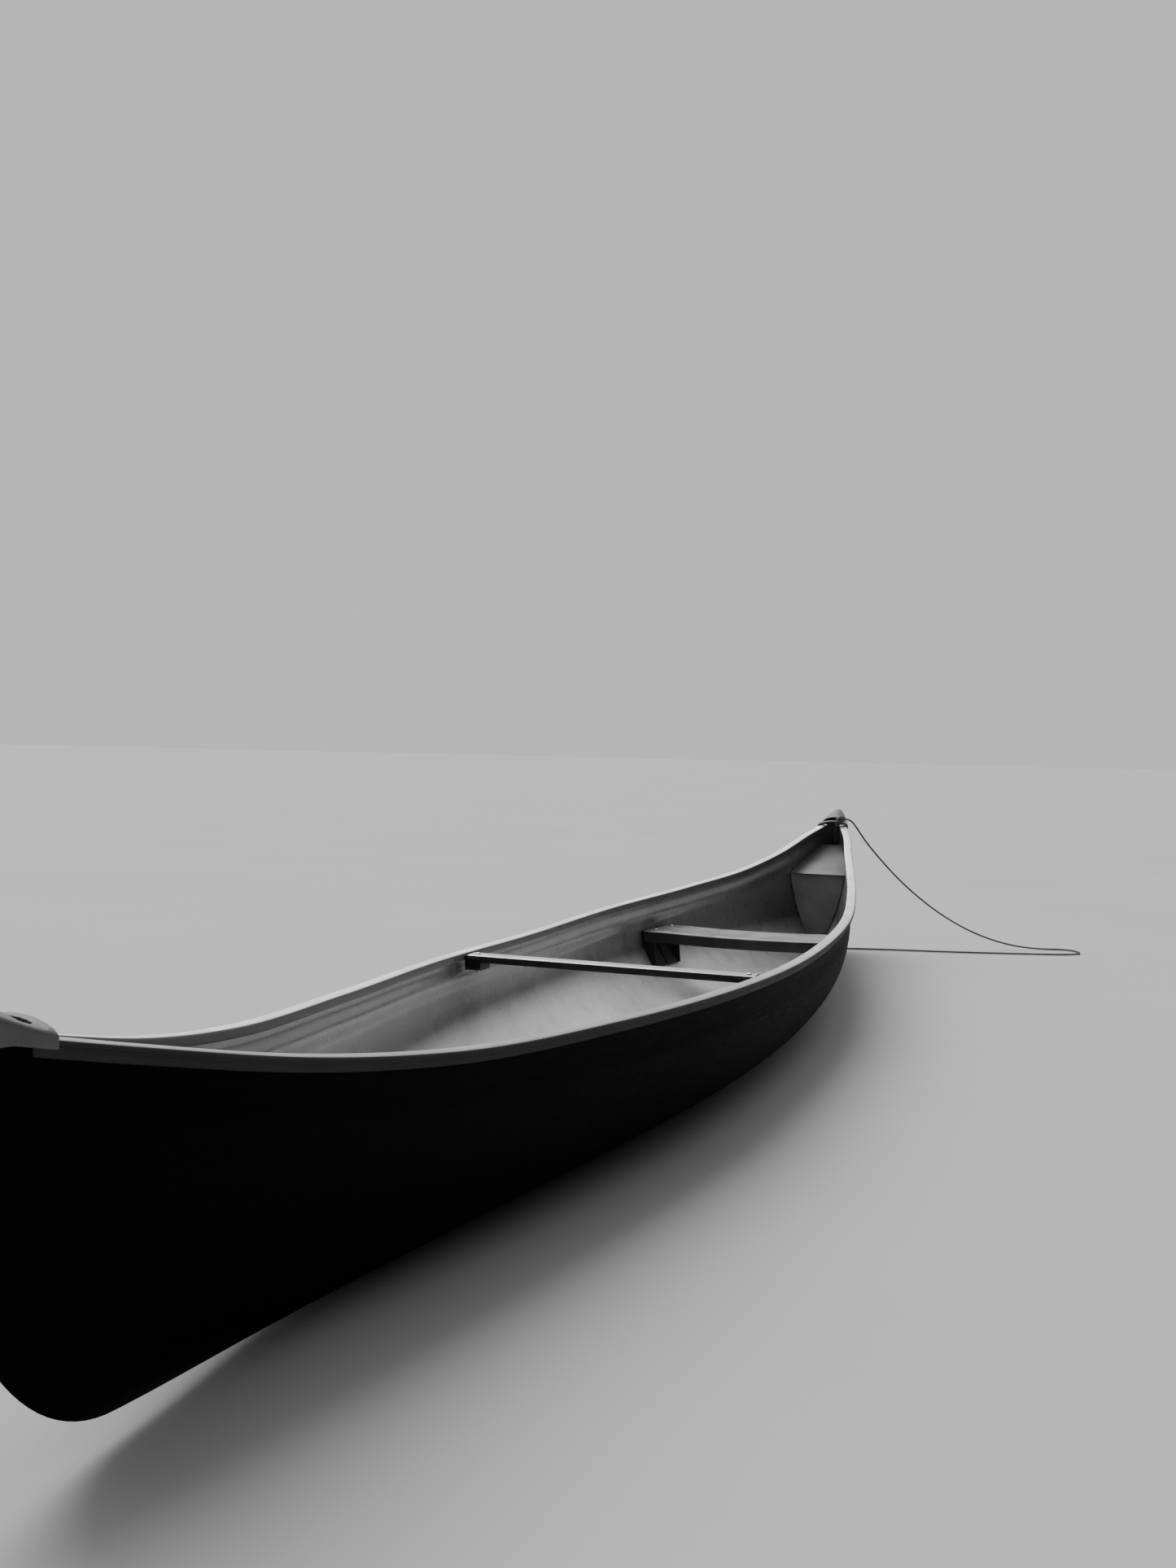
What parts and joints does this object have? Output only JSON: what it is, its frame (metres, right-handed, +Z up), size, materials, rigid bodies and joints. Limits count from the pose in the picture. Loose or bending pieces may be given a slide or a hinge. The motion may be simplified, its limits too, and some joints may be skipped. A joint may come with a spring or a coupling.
{
  "type": "canoe",
  "caption": "Open double-ended canoe: moulded hull with metal gunwales, bench seats on side brackets, a thwart, end buoyancy tanks, handled end caps and a bow painter.",
  "frame": {"origin": "on the ground at the middle of the hull's flat bottom", "axes": "+X toward the bow, +Y to port, +Z up"},
  "size_m": [5.4373, 1.4485, 0.6026],
  "materials": {
    "hull": "moulded laminate, dark outside and grey inside",
    "aluminium": "satin extrusion, dulled by weather",
    "end_cap": "matte moulding",
    "tank_panel": "painted laminate",
    "seat": "matte moulding, scuffed",
    "bracket": "dark semi-matte coat",
    "bolt": "plain",
    "rope": "laid cordage"
  },
  "bodies": {
    "root": {"bow_bulkhead": "tank_panel", "bow_deck_cap": "end_cap", "bow_seat": "seat", "bow_seat_bolt_port_inner": "bolt", "bow_seat_bolt_port_outer": "bolt", "bow_seat_bolt_starboard_inner": "bolt", "bow_seat_bolt_starboard_outer": "bolt", "bow_seat_bracket_port_inner": "bracket", "bow_seat_bracket_port_outer": "bracket", "bow_seat_bracket_starboard_inner": "bracket", "bow_seat_bracket_starboard_outer": "bracket", "bow_tank_top": "tank_panel", "gunwale_port": "aluminium", "gunwale_starboard": "aluminium", "hull_shell": "hull", "painter_coil": "rope", "painter_end_knot": "rope", "painter_hitch": "rope", "painter_rope": "rope", "stern_bulkhead": "tank_panel", "stern_deck_cap": "end_cap", "stern_seat": "seat", "stern_seat_bolt_port_inner": "bolt", "stern_seat_bolt_port_outer": "bolt", "stern_seat_bolt_starboard_inner": "bolt", "stern_seat_bolt_starboard_outer": "bolt", "stern_seat_bracket_port_inner": "bracket", "stern_seat_bracket_port_outer": "bracket", "stern_seat_bracket_starboard_inner": "bracket", "stern_seat_bracket_starboard_outer": "bracket", "stern_tank_top": "tank_panel", "thwart": "aluminium", "thwart_bolt_port": "bolt", "thwart_bolt_starboard": "bolt", "thwart_socket_port": "bracket", "thwart_socket_starboard": "bracket"}
  },
  "joints": []
}
